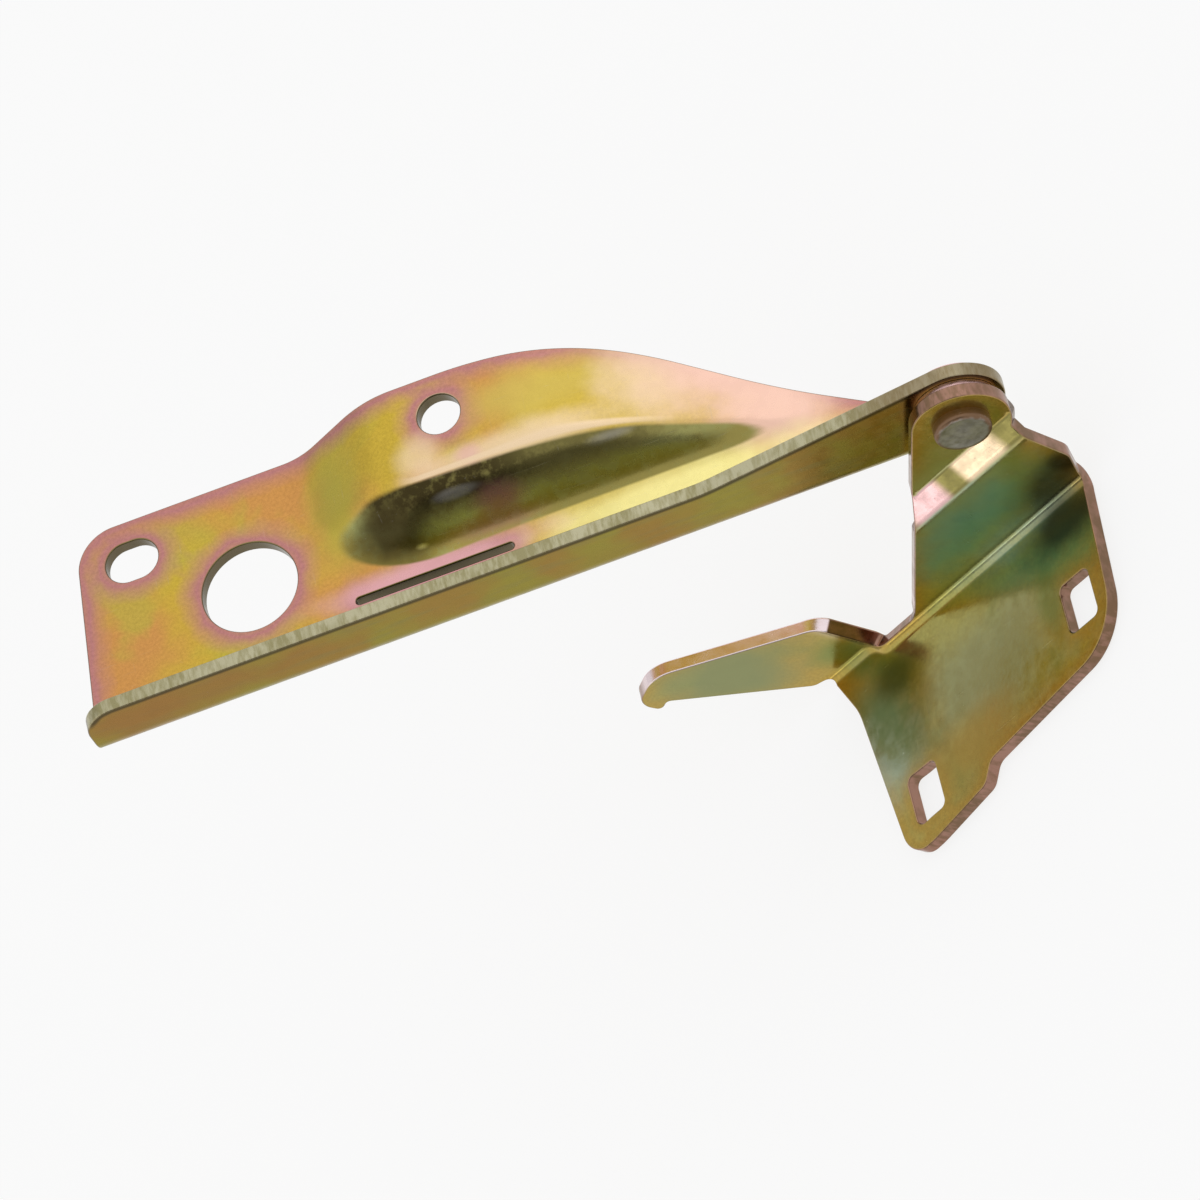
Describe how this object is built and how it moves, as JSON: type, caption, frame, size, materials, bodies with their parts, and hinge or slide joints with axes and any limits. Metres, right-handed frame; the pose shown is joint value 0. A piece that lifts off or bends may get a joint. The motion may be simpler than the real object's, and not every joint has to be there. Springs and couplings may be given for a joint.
{
  "type": "bonnet hinge",
  "caption": "Pressed steel bonnet hinge: a long arm with a stiffening web and a raised bolt seat swings on a riveted pivot above a folded body bracket.",
  "frame": {"origin": "midway between the two body bolt slots, on the underside of the bracket's flange", "axes": "+Z off the body panel, +Y along the pivot from the bracket's flange towards the arm's plate, +X from the arm's tip towards the pivot"},
  "size_m": [0.1736, 0.1035, 0.1351],
  "materials": {
    "arm_zinc": "yellow passivated zinc, satin, iridescent",
    "bracket_zinc": "yellow passivated zinc, satin, iridescent",
    "rivet_steel": "bare worn steel",
    "washer_zinc": "yellow passivated zinc, satin"
  },
  "bodies": {
    "bracket": {"body_bracket": "bracket_zinc", "pivot_rivet": "rivet_steel", "spacer_washer": "washer_zinc", "backing_washer": "washer_zinc"},
    "arm": {"bonnet_arm": "arm_zinc"}
  },
  "joints": [
    {"name": "arm_swing", "type": "hinge", "parent": "bracket", "child": "arm", "pos_m": [0.0378, 0.0385, 0.0357], "axis": [0, 1, 0], "range_deg": [-33, 47]}
  ]
}
